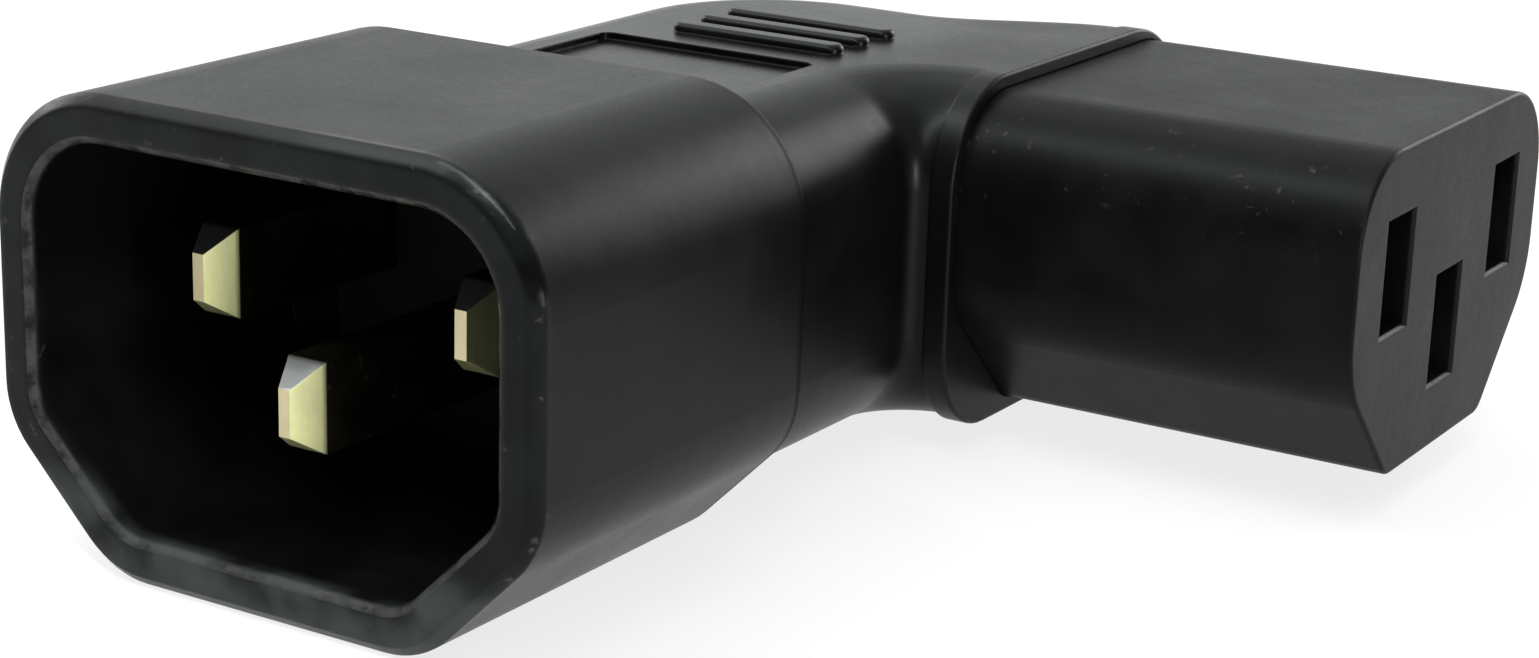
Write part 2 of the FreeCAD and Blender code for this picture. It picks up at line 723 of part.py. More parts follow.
def make_contact(label, wire):
    """Build one sprung contact: two leaves that pinch and flare at the mouth, and a crimp barrel behind."""
    _, rise, row_place, _ = ROUTES[wire]
    body = new_body(label, (COLLAR_BACK, row_place, f"({rise} - Sizes.nose_drop)"))
    ring = new_sketch(body, "BarrelRing", "YZ_Plane")
    draw_circle(ring, "0", size("nose_drop"), "Sizes.sleeve_diameter / 2")
    pad(body, "Barrel", ring, size("barrel_length"))
    root = "(Sizes.barrel_length - Sizes.leaf_thickness)"
    web = f"({root} + Sizes.web_thickness)"
    mouth = CONTACT_LENGTH
    pinch = f"({mouth} - Sizes.mouth_length)"
    leaf = "Sizes.leaf_thickness"
    upper = [
        (web, f"(Sizes.contact_width / 2 - {leaf})"),
        (pinch, "(Sizes.pinch_gap / 2)"),
        (mouth, "(Sizes.mouth_gap / 2)"),
        (mouth, f"(Sizes.mouth_gap / 2 + {leaf})"),
        (pinch, f"(Sizes.pinch_gap / 2 + {leaf})"),
        (root, "(Sizes.contact_width / 2)"),
    ]
    lower = [(x_place, f"-{y_place}") for x_place, y_place in reversed(upper)]
    plan = new_sketch(body, "LeafPlan", "XY_Plane")
    draw(plan, [(x_place, y_place, None) for x_place, y_place in upper + lower])
    pad(body, "Leaves", plan, size("contact_height"), both_ways=True)
    bore = new_sketch(body, "BarrelBore", "YZ_Plane")
    draw_circle(bore, "0", size("nose_drop"), "Sizes.core_diameter / 2 + Sizes.fit_clear")
    cut(body, "CrimpBore", bore, "Sizes.crimp_depth + Sizes.fit_clear", backwards=True)
    return body


def make_core(label, wire):
    """Build one bare conductor, from inside the pin's barrel to inside the contact's barrel."""
    body = new_body(label)
    start = f"({BARREL_END} - Sizes.crimp_depth)"
    stop = f"({COLLAR_BACK} + Sizes.crimp_depth)"
    run_along(body, "AdditivePipe", "Core", wire, start, stop, "Sizes.core_diameter")
    return body


def make_sleeve(label, wire):
    """Build one conductor's insulation, from the pin's barrel to the contact's barrel."""
    body = new_body(label)
    bore = "(Sizes.core_diameter + 2 * Sizes.fit_clear)"
    run_along(body, "AdditivePipe", "Sleeve", wire, BARREL_END, COLLAR_BACK, "Sizes.sleeve_diameter", bore)
    return body


def make_all():
    """Build every piece and return the bodies."""
    bodies = [make_housing(), make_carrier(), make_nose(), make_retainer()]
    tips = {"line": size("live_tip"), "neutral": size("live_tip"), "earth": size("earth_tip")}
    for wire, tip in tips.items():
        bodies.append(make_pin(f"{wire}_pin", wire, tip))
        bodies.append(make_contact(f"{wire}_contact", wire))
        bodies.append(make_core(f"{wire}_core", wire))
        bodies.append(make_sleeve(f"{wire}_sleeve", wire))
    doc.recompute()
    return bodies


def check(bodies):
    """Stop if any object failed or any piece is not one sound solid."""
    for item in doc.Objects:
        if "Invalid" in item.State or "Error" in item.State:
            raise RuntimeError(f"{item.Label} failed: {item.State}")
    for body in bodies:
        shape = body.Shape
        if shape.isNull() or not shape.isValid() or len(shape.Solids) != 1:
            raise RuntimeError(f"{body.Label} is not one sound solid")


pieces = make_all()
check(pieces)
os.makedirs("parts", exist_ok=True)
for piece in pieces:
    piece.Shape.exportStep(f"parts/{piece.Label}.step")
    box = piece.Shape.BoundBox
    corners = [round(number, 2) for number in (box.XMin, box.YMin, box.ZMin, box.XMax, box.YMax, box.ZMax)]
    print(piece.Label, round(piece.Shape.Volume, 2), corners)
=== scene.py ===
import logging
import math
from collections.abc import Mapping, Sequence
from dataclasses import dataclass
from enum import Enum, IntEnum
from typing import Any

import bmesh
import bpy
from mathutils import Matrix, Vector


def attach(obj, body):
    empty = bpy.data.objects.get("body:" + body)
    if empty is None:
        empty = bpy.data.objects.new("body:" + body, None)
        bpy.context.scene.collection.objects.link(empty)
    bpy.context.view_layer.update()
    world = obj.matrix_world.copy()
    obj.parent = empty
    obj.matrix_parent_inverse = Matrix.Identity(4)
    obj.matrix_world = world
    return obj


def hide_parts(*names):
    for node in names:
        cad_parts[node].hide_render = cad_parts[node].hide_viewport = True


# Looks of a right-angle power adapter: a moulded black elbow with a flat-pin inlet and a
# slotted connector nose. Metres, +Z up. The inlet faces -Y and the nose faces +X, as in the
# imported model.

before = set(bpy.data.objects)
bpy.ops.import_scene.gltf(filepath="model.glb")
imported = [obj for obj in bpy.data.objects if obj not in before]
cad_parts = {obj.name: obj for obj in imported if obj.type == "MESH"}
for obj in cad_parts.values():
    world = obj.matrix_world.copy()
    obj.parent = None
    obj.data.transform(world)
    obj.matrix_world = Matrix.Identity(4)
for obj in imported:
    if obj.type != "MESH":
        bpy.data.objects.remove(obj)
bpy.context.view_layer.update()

log = logging.getLogger("adapter")
MM = 0.001
NOISE_MIDDLE = 0.5
BEVEL_SAMPLES = 6

Colour = tuple[float, float, float]
Point = tuple[float, float, float]
# The values at which a smooth rise starts and ends
Rise = tuple[float, float]
# How far from a place a zone is full, and how far from it the zone has faded
Fade = tuple[float, float]

WHITE: Colour = (1.0, 1.0, 1.0)
# Painted shade: the flat black that a finish turns to where shade is painted
SHADE_BLACK: Colour = (0.003, 0.003, 0.003)


class Wire(Enum):
    """The three conductors that run through the adapter."""

    LINE = "line"
    NEUTRAL = "neutral"
    EARTH = "earth"


class Axis(IntEnum):
    """The part's axes: towards the nose's side, along the inlet, and up."""

    SIDE = 0
    ALONG = 1
    UP = 2


class Reading:
    """One value on a node board, with plain arithmetic that adds its Math nodes."""

    def __init__(self, board: "Board", socket: bpy.types.NodeSocket) -> None:
        """Wrap a socket of a board's tree."""
        self.board = board
        self.socket = socket

    def _math(self, operation: str, first: "Value", second: "Value") -> "Reading":
        """Return the result of one Math node on two values."""
        return self.board.node("ShaderNodeMath", {"operation": operation}, {0: first, 1: second})

    def __add__(self, other: "Value") -> "Reading":
        """Return the sum."""
        return self._math("ADD", self, other)

    def __radd__(self, other: "Value") -> "Reading":
        """Return the sum, with the plain number on the left."""
        return self._math("ADD", other, self)

    def __sub__(self, other: "Value") -> "Reading":
        """Return the difference."""
        return self._math("SUBTRACT", self, other)

    def __rsub__(self, other: "Value") -> "Reading":
        """Return the difference from a plain number."""
        return self._math("SUBTRACT", other, self)

    def __mul__(self, other: "Value") -> "Reading":
        """Return the product."""
        return self._math("MULTIPLY", self, other)

    def __rmul__(self, other: "Value") -> "Reading":
        """Return the product, with the plain number on the left."""
        return self._math("MULTIPLY", other, self)

    def __truediv__(self, other: "Value") -> "Reading":
        """Return the quotient, which is 0 where the divisor is 0."""
        return self._math("DIVIDE", self, other)

    def __rtruediv__(self, other: "Value") -> "Reading":
        """Return the quotient of a plain number."""
        return self._math("DIVIDE", other, self)

    def __gt__(self, other: "Value") -> "Reading":
        """Return 1 where this is larger, and 0 elsewhere."""
        return self._math("GREATER_THAN", self, other)

    def __or__(self, other: "Value") -> "Reading":
        """Return the larger of the two."""
        return self._math("MAXIMUM", self, other)

    def __abs__(self) -> "Reading":
        """Return the size without its sign."""
        return self._math("ABSOLUTE", self, 0.0)


Value = Reading | float | int | Sequence[float]


@dataclass(frozen=True)
class Patches:
    """How soft noise looks: the size of its patches, its finer layers and their strength."""

    size: float
    detail: float = 2.0
    rough: float = 0.5


class Board:
    """The nodes of one material, floor, world or shape, and the one way to add to them."""

    def __init__(self, tree: bpy.types.NodeTree) -> None:
        """Take over a tree and clear it."""
        self.tree = tree
        tree.nodes.clear()

    @classmethod
    def of_material(cls, name: str) -> tuple["Board", bpy.types.Material]:
        """Start a material.

        Args:
            name: The finish's name.

        Returns:
            The empty board and the material that it belongs to.
        """
        material = bpy.data.materials.new(name)
        material.use_nodes = True
        return cls(material.node_tree), material

    def node(
        self,
        kind: str,
        settings: Mapping[str, Any] | None = None,
        sockets: Mapping[str | int, Any] | None = None,
        output: str | int = 0,
    ) -> Reading:
        """Add one node, set it up and feed it.

        Args:
            kind: The node's type.
            settings: Its own settings, which are set first.
            sockets: Values or readings for its inputs, by identifier, name or number.
            output: The output that is wanted.

        Returns:
            The wanted output.
        """
        node = self.tree.nodes.new(kind)
        for key, setting in (settings or {}).items():
            setattr(node, key, setting)
        for key, value in (sockets or {}).items():
            socket = self._find(node.inputs, key)
            if isinstance(value, Reading):
                self.tree.links.new(value.socket, socket)
            else:
                socket.default_value = value
        found = self._find(node.outputs, output) if len(node.outputs) else None
        return Reading(self, found)

    @staticmethod
    def _find(group: Any, key: str | int) -> bpy.types.NodeSocket:
        """Find a socket of a node.

        Args:
            group: The node's inputs or outputs.
            key: The socket's number, identifier or name.

        Returns:
            The socket.
        """
        if isinstance(key, int):
            return group[key]
        for socket in group:
            if socket.identifier == key:
                return socket
        return group[key]

    def place(self) -> Reading:
        """Return the place on the piece, in its own coordinates."""
        return self.node("ShaderNodeTexCoord", output="Object")

    def facing(self) -> Reading:
        """Return the way that the face looks."""
        return self.node("ShaderNodeNewGeometry", output="True Normal")

    def axes(self, vector: Reading) -> tuple[Reading, Reading, Reading]:
        """Split a vector.

        Args:
            vector: The vector.

        Returns:
            Its parts along the three axes.
        """
        split = self.node("ShaderNodeSeparateXYZ", sockets={"Vector": vector})
        outputs = split.socket.node.outputs
        return Reading(self, outputs[0]), Reading(self, outputs[1]), Reading(self, outputs[2])

    def vector(self, operation: str, one: Value, other: Value, output: str = "Vector") -> Reading:
        """Return the result of one Vector Math node on two vectors."""
        settings = {"operation": operation}
        return self.node("ShaderNodeVectorMath", settings, {0: one, 1: other}, output)

    def scaled(self, vector: Reading, factor: Value) -> Reading:
        """Return a vector times a number."""
        sockets = {"Vector": vector, "Scale": factor}
        return self.node("ShaderNodeVectorMath", {"operation": "SCALE"}, sockets, "Vector")

    def stretch(self, vector: Reading, scale: Point) -> Reading:
        """Scale a vector along each axis."""
        return self.node("ShaderNodeMapping", sockets={"Vector": vector, "Scale": scale})

    def noise(self, vector: Reading, patches: Patches) -> Reading:
        """Return soft noise.

        Args:
            vector: The place to read it at.
            patches: How it looks.

        Returns:
            The noise, from 0 to 1.
        """
        sockets = {
            "Vector": vector,
            "Scale": 1.0 / patches.size,
            "Detail": patches.detail,
            "Roughness": patches.rough,
        }
        return self.node("ShaderNodeTexNoise", {"noise_dimensions": "3D"}, sockets, "Fac")

    def ease(self, value: Value, low: float, high: float) -> Reading:
        """Return a smooth rise of a value.

        Args:
            value: The value.
            low: Where the rise starts. It may lie above its end.
            high: Where the rise ends.

        Returns:
            0 on the near side of the start, and 1 on the far side of the end.
        """
        sockets = {"Value": value, "From Min": low, "From Max": high}
        settings = {"interpolation_type": "SMOOTHSTEP"}
        return self.node("ShaderNodeMapRange", settings, sockets, "Result")

    def blend(self, share: Value, first: Value, second: Value) -> Reading:
        """Mix two colours.

        Args:
            share: The share of the second colour.
            first: The first colour.
            second: The second colour.

        Returns:
            The mixed colour.
        """
        sockets = {
            "Factor_Float": share,
            "A_Color": self.solid(first),
            "B_Color": self.solid(second),
        }
        return self.node("ShaderNodeMix", {"data_type": "RGBA"}, sockets, "Result_Color")

    @staticmethod
    def solid(colour: Value) -> Value:
        """Give a plain colour its opaque fourth part."""
        return colour if isinstance(colour, Reading) else (*colour, 1.0)

    def relief(self, height: Reading, depth: float, edge_round: Value = 0.0) -> Reading:
        """Return the surface direction that a relief gives.

        Args:
            height: The relief, from 0 to 1.
            depth: The height of 1, in metres.
            edge_round: How far the piece's edges look rounded, in metres.

        Returns:
            The direction for a shader's Normal.
        """
        sockets = {"Height": height, "Distance": depth}
        if isinstance(edge_round, Reading) or edge_round:
            settings = {"samples": BEVEL_SAMPLES}
            sockets["Normal"] = self.node("ShaderNodeBevel", settings, {"Radius": edge_round})
        return self.node("ShaderNodeBump", sockets=sockets, output="Normal")

    def surface(self, sockets: Mapping[str | int, Any], painted_shade: Reading | None = None) -> None:
        """End a material in its shader.

        Args:
            sockets: The shader's values.
            painted_shade: Where the surface is painted shade, a plain flat black instead, from 0
                to 1.
        """
        shader = self.node("ShaderNodeBsdfPrincipled", sockets=sockets, output="BSDF")
        if painted_shade is not None:
            # Painted shade: a flat black diffuse takes over where the mask is full
            flat = self.node("ShaderNodeBsdfDiffuse", sockets={"Color": self.solid(SHADE_BLACK)})
            shader = self.node("ShaderNodeMixShader", sockets={0: painted_shade, 1: shader, 2: flat})
        self.node("ShaderNodeOutputMaterial", sockets={"Surface": shader})


@dataclass(frozen=True)
class Span:
    """Where a zone lies along one axis, as a place and how it fades from there."""

    axis: Axis
    start: float
    fade: Fade

    def share(self, board: Board, parts: Sequence[Reading]) -> Reading:
        """Return 1 where the zone is full along the axis, and 0 where it has faded.

        Args:
            board: The material's nodes.
            parts: The place on the piece, by axis.

        Returns:
            The share of the zone.
        """
        full, faded = (self.start + reach for reach in self.fade)
        return board.ease(parts[self.axis], faded, full)


@dataclass(frozen=True)
class Zone:
    """A part of a piece that lies inside all its spans."""

    spans: tuple[Span, ...]
    strength: float = 1.0

    def mask(self, board: Board, place: Reading) -> Reading:
        """Return the zone, from 0 outside it to 1 inside.

        Args:
            board: The material's nodes.
            place: The place on the piece.

        Returns:
            The share of the zone.
        """
        parts = board.axes(place)
        share = self.spans[0].share(board, parts)
        for span in self.spans[1:]:
            share = share * span.share(board, parts)
        return share * self.strength

    @staticmethod
    def joined(zones: Sequence["Zone"], board: Board, place: Reading) -> Reading | None:
        """Return several zones as one mask.

        Args:
            zones: The zones.
            board: The material's nodes.
            place: The place on the piece.

        Returns:
            The largest share of them, or nothing where there are no zones.
        """
        masks = [zone.mask(board, place) for zone in zones]
        whole = masks[0] if masks else None
        for mask in masks[1:]:
            whole = whole | mask
        return whole


@dataclass(frozen=True)
class Lip:
    """The inner edge of an opening that faces -Y, lighter in flecks: partly wear, partly a painted
    highlight along the edge.
    """

    middle: tuple[float, float]
    mouth: float
    width: float
    full_share: float = 0.7
    inward: Rise = (-2.5 * MM, -5.0 * MM)

    def mask(self, board: Board, place: Reading) -> Reading:
        """Return 1 on faces near the mouth that look towards the opening's middle.

        Args:
            board: The material's nodes.
            place: The place on the piece.

        Returns:
            The share of the lip.
        """
        side, along, up = board.axes(place)
        across, _, rise = board.axes(board.facing())
        outward = across * (side - self.middle[0]) + rise * (up - self.middle[1])
        full = self.mouth + self.width * self.full_share
        near = board.ease(along, self.mouth + self.width, full)
        return near * board.ease(outward, *self.inward)


@dataclass(frozen=True)
class SatinMoulding:
    """Black moulded plastic with a fine grain, soft clouds from the flow, wear and a dusting from
    use, painted floor light low on a rim, a painted highlight along a lip, and painted shade as
    flat black.
    """

    name: str
    shade: Colour = (0.0022, 0.0023, 0.0023)
    clouded: Colour = (0.0045, 0.0048, 0.0046)
    # The worn colour serves rub marks and, along the lip, a painted highlight
    wear_and_highlight: Colour = (0.050, 0.052, 0.049)
    # The pale bluish colour is a dusting and, low on the rim, painted floor light
    dust_and_floor_light: Colour = (0.036, 0.041, 0.041)
    tint: Colour = (0.93, 1.0, 0.99)
    gloss: float = 0.12
    roughness: float = 0.34
    polished: float = 0.24
    cloud: Patches = Patches(7.0 * MM, detail=3.0, rough=0.55)
    wave: Patches = Patches(2.8 * MM)
    grain: Patches = Patches(0.17 * MM, rough=0.6)
    speck: Patches = Patches(0.9 * MM, detail=3.0, rough=0.65)
    cloud_rise: Rise = (0.36, 0.66)
    dust_and_light_rise: Rise = (0.25, 0.65)
    fleck_rise: Rise = (0.62, 0.75)
    lip_rise: Rise = (0.30, 0.62)
    cloud_rough: float = 0.18
    grain_rough: float = 0.16
    fleck_rough: float = 0.12
    fleck_share: float = 0.7
    lip_share: float = 0.8
    grain_depth: float = 0.0035 * MM
    wave_depth: float = 0.020 * MM
    edge_round: float = 0.16 * MM
    soft_round: float = 0.45 * MM
    rubs: tuple[Zone, ...] = ()
    # Zones of dusting, and of painted floor light
    dusted_and_floor_lit: tuple[Zone, ...] = ()
    smooth: tuple[Zone, ...] = ()
    soft: tuple[Zone, ...] = ()
    # Zones painted in shade, as flat black
    painted_shade: tuple[Zone, ...] = ()
    lip: Lip | None = None

    def material(self) -> bpy.types.Material:
        """Make the moulded black.

        Returns:
            The material.
        """
        board, material = Board.of_material(self.name)
        place = board.place()
        cloud = board.noise(place, self.cloud)
        wave = board.noise(place, self.wave)
        grain = board.noise(place, self.grain)
        speck = board.noise(place, self.speck)
        colour = board.blend(board.ease(cloud, *self.cloud_rise), self.shade, self.clouded)
        roughness = self.roughness + self.cloud_rough * (cloud - NOISE_MIDDLE)
        roughness = roughness + self.grain_rough * (grain - NOISE_MIDDLE)
        # A dusting, and painted floor light where the zones say: a paler bluish tone in patches
        dusted_and_floor_lit = Zone.joined(self.dusted_and_floor_lit, board, place)
        if dusted_and_floor_lit is not None:
            colour = board.blend(dusted_and_floor_lit * board.ease(wave, *self.dust_and_light_rise), colour, self.dust_and_floor_light)
        worn = Zone.joined(self.rubs, board, place)
        if worn is not None:
            flecks = worn * board.ease(speck, *self.fleck_rise)
            colour = board.blend(flecks * self.fleck_share, colour, self.wear_and_highlight)
            roughness = roughness + self.fleck_rough * flecks
        # The lip's flecks: wear, and a painted highlight along the opening's inner edge
        if self.lip:
            wear_and_highlight = self.lip.mask(board, place) * board.ease(speck, *self.lip_rise)
            colour = board.blend(wear_and_highlight * self.lip_share, colour, self.wear_and_highlight)
        smooth = Zone.joined(self.smooth, board, place)
        if smooth is not None:
            roughness = roughness - self.polished * smooth
            grain = grain * (1.0 - smooth)
        bend: Value = self.edge_round
        soft = Zone.joined(self.soft, board, place)
        if soft is not None:
            bend = bend + (self.soft_round - self.edge_round) * soft
        height = grain * (self.grain_depth / self.wave_depth) + wave
        # The finish ends with painted shade: its last zones turn the surface flat black
        board.surface(
            {
                "Base Color": colour,
                "Roughness": roughness,
                "Specular IOR Level": self.gloss,
                "Specular Tint": board.solid(self.tint),
                "Normal": board.relief(height, self.wave_depth, bend),
            },
            Zone.joined(self.painted_shade, board, place),
        )
        return material


@dataclass(frozen=True)
class DullMoulding:
    """The dull black of the plastic blocks inside."""

    name: str
    shade: Colour = (0.004, 0.004, 0.0043)
    paler: Colour = (0.008, 0.008, 0.0085)
    gloss: float = 0.12
    roughness: float = 0.62
    cloud: Patches = Patches(5.0 * MM)
    grain: Patches = Patches(0.25 * MM, rough=0.6)
    grain_rough: float = 0.15
    grain_depth: float = 0.006 * MM

    def material(self) -> bpy.types.Material:
        """Make the dull black.

        Returns:
            The material.
        """
        board, material = Board.of_material(self.name)
        place = board.place()
        cloud = board.noise(place, self.cloud)
        grain = board.noise(place, self.grain)
        board.surface(
            {
                "Base Color": board.blend(cloud, self.shade, self.paler),
                "Roughness": self.roughness + self.grain_rough * (grain - NOISE_MIDDLE),
                "Specular IOR Level": self.gloss,
                "Normal": board.relief(grain, self.grain_depth),
            }
        )
        return material


@dataclass(frozen=True)
class PinEnd:
    """A pin's tapered end: a cut front, a painted sheen on its upper slope, and pale flanks before
    a shank in painted shade.
    """

    tip: Zone
    cut_front: Colour = (0.64, 0.57, 0.35)
    # The grey for faces that look up is a painted sheen; the dark colour behind the tip is painted
    # shade
    painted_sheen: Colour = (0.42, 0.44, 0.43)
    blade_shade: Colour = (0.075, 0.072, 0.052)
    sheen_rise: Rise = (0.3, 0.6)
    front_rise: Rise = (-0.75, -0.95)

    def tinted(self, board: Board, place: Reading, colour: Reading) -> Reading:
        """Colour the end, with a painted sheen on faces that look up and painted shade on the
        shank behind the tip.

        Args:
            board: The material's nodes.
            place: The place on the piece.
            colour: The metal's own colour.

        Returns:
            The colour with the end's own in it.
        """
        _, forward, upward = board.axes(board.facing())
        # Painted sheen on faces that look up
        colour = board.blend(board.ease(upward, *self.sheen_rise), colour, self.painted_sheen)
        # Painted shade on the shank behind the tip
        colour = board.blend(self.tip.mask(board, place), self.blade_shade, colour)
        return board.blend(board.ease(forward, *self.front_rise), colour, self.cut_front)


@dataclass(frozen=True)
class BareMetal:
    """Bare metal with fine lines from the tool, a soft tarnish and a few darker specks."""

    name: str
    bright: Colour
    tarnish: Colour
    roughness: float
    line_scale: Point
    lines: Patches = Patches(0.10 * MM, detail=3.0, rough=0.6)
    patch: Patches = Patches(2.2 * MM, detail=3.0, rough=0.6)
    dirt: Patches = Patches(0.55 * MM)
    patch_rise: Rise = (0.42, 0.72)
    dirt_rise: Rise = (0.64, 0.78)
    streak_rise: Rise = (0.35, 0.75)
    patch_share: float = 0.6
    dirt_share: float = 0.7
    streak_share: float = 0.25
    dirt_cover: float = 0.25
    line_rough: float = 0.14
    patch_rough: float = 0.10
    line_depth: float = 0.004 * MM
    end: PinEnd | None = None

    def material(self) -> bpy.types.Material:
        """Make the metal.

        Returns:
            The material.
        """
        board, material = Board.of_material(self.name)
        place = board.place()
        lines = board.noise(board.stretch(place, self.line_scale), self.lines)
        patch = board.ease(board.noise(place, self.patch), *self.patch_rise)
        dirt = board.ease(board.noise(place, self.dirt), *self.dirt_rise)
        streak = board.ease(lines, *self.streak_rise)
        dulled = (patch * self.patch_share + streak * self.streak_share) | dirt * self.dirt_share
        colour = board.blend(dulled, self.bright, self.tarnish)
        # A pin's end: painted sheen on its upper slope and painted shade on its shank
        if self.end:
            colour = self.end.tinted(board, place, colour)
        roughness = self.roughness + self.line_rough * (lines - NOISE_MIDDLE)
        board.surface(
            {
                "Base Color": colour,
                "Metallic": 1.0 - self.dirt_cover * dirt,
                "Roughness": roughness + self.patch_rough * patch,
                "Normal": board.relief(lines, self.line_depth),
            }
        )
        return material


@dataclass(frozen=True)
class Insulation:
    """Matte insulation of one conductor, with a second colour above and below if it has one."""

    name: str
    colour: Colour
    worn: Colour
    stripe: Colour | None = None
    stripe_level: float = 0.0
    stripe_half: float = 0.0
    stripe_edge: float = 0.05 * MM
    roughness: float = 0.55
    cloud: Patches = Patches(1.8 * MM, detail=3.0)
    grain: Patches = Patches(0.12 * MM)
    cloud_rise: Rise = (0.4, 0.75)
    cloud_rough: float = 0.12
    grain_depth: float = 0.004 * MM

    def material(self) -> bpy.types.Material:
        """Make the coloured insulation.

        Returns:
            The material.
        """
        board, material = Board.of_material(self.name)
        place = board.place()
        cloud = board.noise(place, self.cloud)
        grain = board.noise(place, self.grain)
        colour = board.blend(board.ease(cloud, *self.cloud_rise), self.colour, self.worn)
        if self.stripe:
            _, _, height = board.axes(place)
            offset = abs(height - self.stripe_level)
            inner = self.stripe_half - self.stripe_edge
            share = board.ease(offset, inner, self.stripe_half + self.stripe_edge)
            colour = board.blend(share, colour, self.stripe)
        board.surface(
            {
                "Base Color": colour,
                "Roughness": self.roughness + self.cloud_rough * (cloud - NOISE_MIDDLE),
                "Normal": board.relief(grain, self.grain_depth),
            }
        )
        return material


def dress(node: str, material: bpy.types.Material) -> bpy.types.Object:
    """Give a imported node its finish.

    Args:
        node: The node's name.
        material: The finish for all its faces.

    Returns:
        The node's object.
    """
    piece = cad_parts[node]
    piece.data.materials.clear()
    piece.data.materials.append(material)
    log.info("dressed %s in %s", node, material.name)
    return piece


@dataclass
class MouldedElbow:
    """The one-piece housing: shroud, neck, turned elbow, ribs, label recess and collar."""

    node: str = "elbow_housing"
    inlet_middle: tuple[float, float] = (-9.55 * MM, 10.5 * MM)
    rim_place: float = -29.7 * MM
    recess_floor: float = -12.9 * MM
    recess_half: float = 12.2 * MM
    recess_top: float = 18.9 * MM
    lip_chamfer: float = 0.35 * MM
    shroud_back: float = -10.1 * MM
    corner_side: float = -4.5 * MM
    corner_level: float = 15.0 * MM
    elbow_top: float = 18.6 * MM
    # Zones of the finish: the rim, its dusting and the painted floor light on its lower part,
    # its polished corner, the elbow's top, and the painted shade on the shroud's back edge and
    # the recess's roof
    rim_depth: Fade = (0.2 * MM, 1.3 * MM)
    rim_dust: float = 0.10
    low_floor_light: Fade = (2.5 * MM, 5.5 * MM)
    corner_reach: Fade = (0.0, -4.0 * MM)
    corner_depth: Fade = (0.6 * MM, 1.0 * MM)
    corner_drop: Fade = (0.0, -2.0 * MM)
    top_reach: Fade = (-6.0 * MM, 0.0)
    top_front: Fade = (2.0 * MM, 0.0)
    top_drop: Fade = (-0.5 * MM, -1.2 * MM)
    top_polish: float = 0.4
    edge_front: Fade = (-0.5 * MM, -0.8 * MM)
    edge_behind: Fade = (0.1 * MM, 0.3 * MM)
    edge_level: Fade = (19.0 * MM, 20.8 * MM)
    edge_share: float = 0.5
    roof_outer: Fade = (-0.05 * MM, -0.35 * MM)
    roof_inner: Fade = (-2.5 * MM, -1.0 * MM)
    roof_mouth: Fade = (0.6 * MM, 0.3 * MM)
    roof_floor: Fade = (0.0, 1.0 * MM)
    roof_low: Fade = (3.0 * MM, 0.0)
    roof_high: Fade = (0.05 * MM, 0.25 * MM)

    def dress(self) -> None:
        """Give the housing its satin black, with a worn rim, a painted highlight on the lip,
        painted floor light low on the rim, some smoother zones and painted shade as flat black.
        """
        rim = Span(Axis.ALONG, self.rim_place, self.rim_depth)
        low = Span(Axis.UP, 0.0, self.low_floor_light)
        finish = SatinMoulding(
            "moulded_black",
            rubs=(Zone((rim,)),),
            # A light dusting on the whole rim, and painted floor light on its lower part
            dusted_and_floor_lit=(Zone((rim,), self.rim_dust), Zone((rim, low))),
            smooth=(self._corner(), self._elbow_top()),
            soft=(Zone((rim,)),),
            # Painted shade: flat black on the shroud's back edge and the recess's roof
            painted_shade=(self._back_edge(), self._recess_roof()),
            # The lip's flecks are wear and a painted highlight
            lip=Lip(self.inlet_middle, self.rim_place, self.lip_chamfer),
        )
        dress(self.node, finish.material())

    def _corner(self) -> Zone:
        """Mark the rim's polished upper corner on the nose's side.

        Returns:
            The zone.
        """
        spans = (
            Span(Axis.SIDE, self.corner_side, self.corner_reach),
            Span(Axis.ALONG, self.rim_place, self.corner_depth),
            Span(Axis.UP, self.corner_level, self.corner_drop),
        )
        return Zone(spans)

    def _elbow_top(self) -> Zone:
        """Mark the top of the neck and elbow, around the label recess and the ribs.

        Returns:
            The zone.
        """
        spans = (
            Span(Axis.SIDE, 0.0, self.top_reach),
            Span(Axis.ALONG, self.shroud_back, self.top_front),
            Span(Axis.UP, self.elbow_top, self.top_drop),
        )
        return Zone(spans, self.top_polish)

    def _back_edge(self) -> Zone:
        """Mark the edge behind the shroud, below its rounded top, where painted shade dims its
        sheen by half.

        Returns:
            The zone.
        """
        spans = (
            Span(Axis.ALONG, self.shroud_back, self.edge_front),
            Span(Axis.ALONG, self.shroud_back, self.edge_behind),
            Span(Axis.UP, 0.0, self.edge_level),
        )
        return Zone(spans, self.edge_share)

    def _recess_roof(self) -> Zone:
        """Mark the upper half of the recess, inside the rim, for painted shade.

        Returns:
            The zone.
        """
        side, level = self.inlet_middle
        spans = (
            Span(Axis.SIDE, side - self.recess_half, self.roof_outer),
            Span(Axis.SIDE, side + self.recess_half, self.roof_inner),
            Span(Axis.ALONG, self.rim_place, self.roof_mouth),
            Span(Axis.ALONG, self.recess_floor, self.roof_floor),
            Span(Axis.UP, level, self.roof_low),
            Span(Axis.UP, self.recess_top, self.roof_high),
        )
        return Zone(spans)


